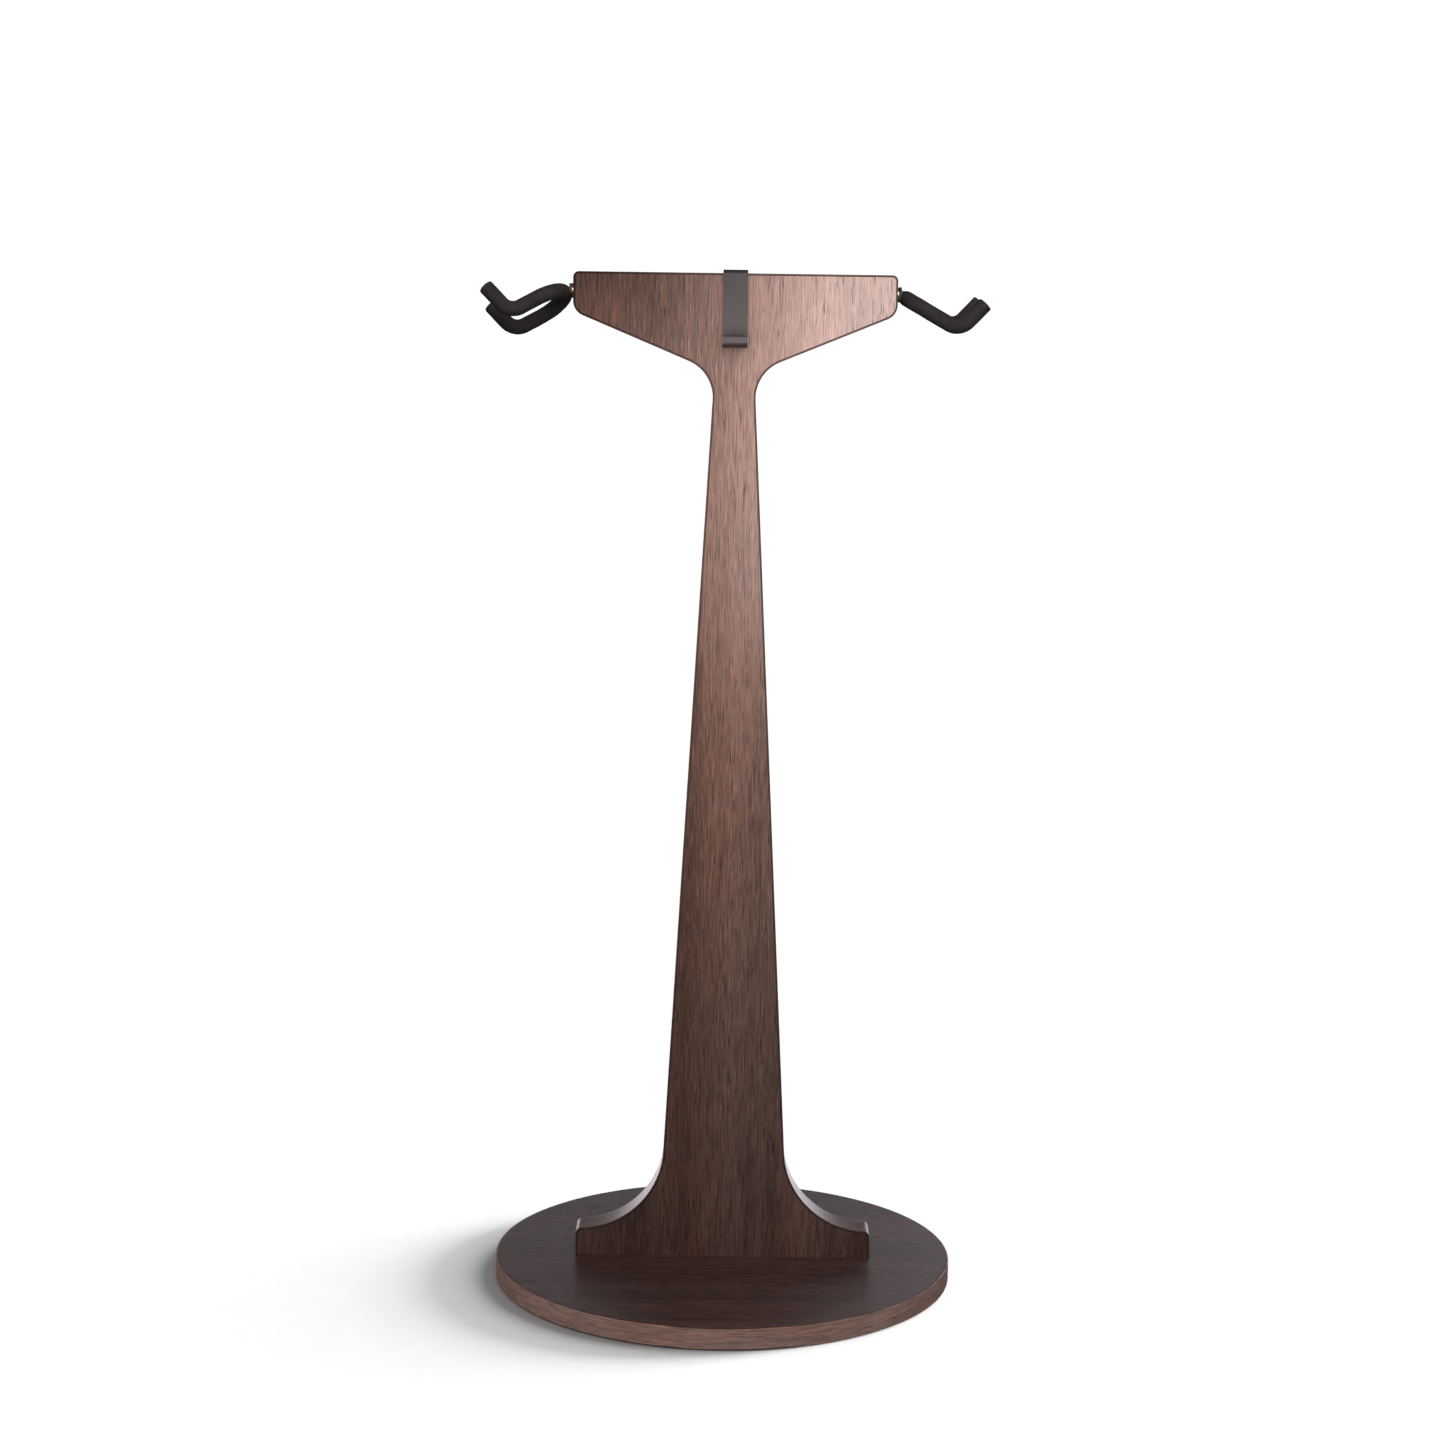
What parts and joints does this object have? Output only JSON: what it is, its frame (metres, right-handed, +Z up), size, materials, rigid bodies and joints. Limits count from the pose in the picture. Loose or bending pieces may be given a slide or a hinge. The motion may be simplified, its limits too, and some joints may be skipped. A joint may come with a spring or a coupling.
{
  "type": "double guitar display stand",
  "caption": "Free-standing floor stand: flat tapered wooden post with a winged head on a round base, swivelling foam-covered yokes on both ends and a strap hook for leads.",
  "frame": {"origin": "on the floor under the middle of the round base", "axes": "+Z up; X from yoke to yoke, parallel to the yokes' swivel axes; -Y towards the front, the side that the cable hook opens to"},
  "size_m": [0.4934, 0.46, 1.0098],
  "materials": {
    "post_veneer": "satin grey-brown veneer, vertical grain",
    "post_edge_veneer": "satin grey-brown veneer, grain along the edge",
    "base_veneer": "satin dark grey-brown veneer, grain from side to side",
    "base_edge_veneer": "satin grey-brown veneer, grain along the rim",
    "beech": "bare",
    "pad_felt": "matte, dense",
    "foam": "matte closed-cell foam",
    "black_powder_coat": "fine satin powder coat",
    "black_steel": "black oxide",
    "zinc_steel": "zinc plated",
    "brass": "satin",
    "nylon": "matte black"
  },
  "bodies": {
    "stand": {"base_board": "base_veneer", "base_edge_band": "base_edge_veneer", "base_pads": "pad_felt", "post_board": "post_veneer", "post_edge_band": "post_edge_veneer", "foot_bolts": "zinc_steel", "foot_inserts": "brass", "foot_dowels": "beech", "left_yoke_insert": "brass", "left_friction_washer": "nylon", "right_yoke_insert": "brass", "right_friction_washer": "nylon"},
    "hook": {"cable_hook": "black_powder_coat"},
    "left_yoke": {"left_lock_nut": "black_steel", "left_yoke_stud": "zinc_steel", "left_yoke_rod": "black_steel", "left_front_sleeve": "foam", "left_rear_sleeve": "foam"},
    "right_yoke": {"right_lock_nut": "black_steel", "right_yoke_stud": "zinc_steel", "right_yoke_rod": "black_steel", "right_front_sleeve": "foam", "right_rear_sleeve": "foam"}
  },
  "joints": [
    {"name": "left_yoke_swivel", "type": "hinge", "parent": "stand", "child": "left_yoke", "pos_m": [-0.1573, 0, 0.988], "axis": [1, 0, 0], "range_deg": [-74, 106]},
    {"name": "right_yoke_swivel", "type": "hinge", "parent": "stand", "child": "right_yoke", "pos_m": [0.1573, 0, 0.988], "axis": [1, 0, 0], "range_deg": [-92.5, 87.5]},
    {"name": "hook_lift", "type": "slide", "parent": "stand", "child": "hook", "axis": [0, 0, 1], "range_m": [0, 0.06]}
  ]
}
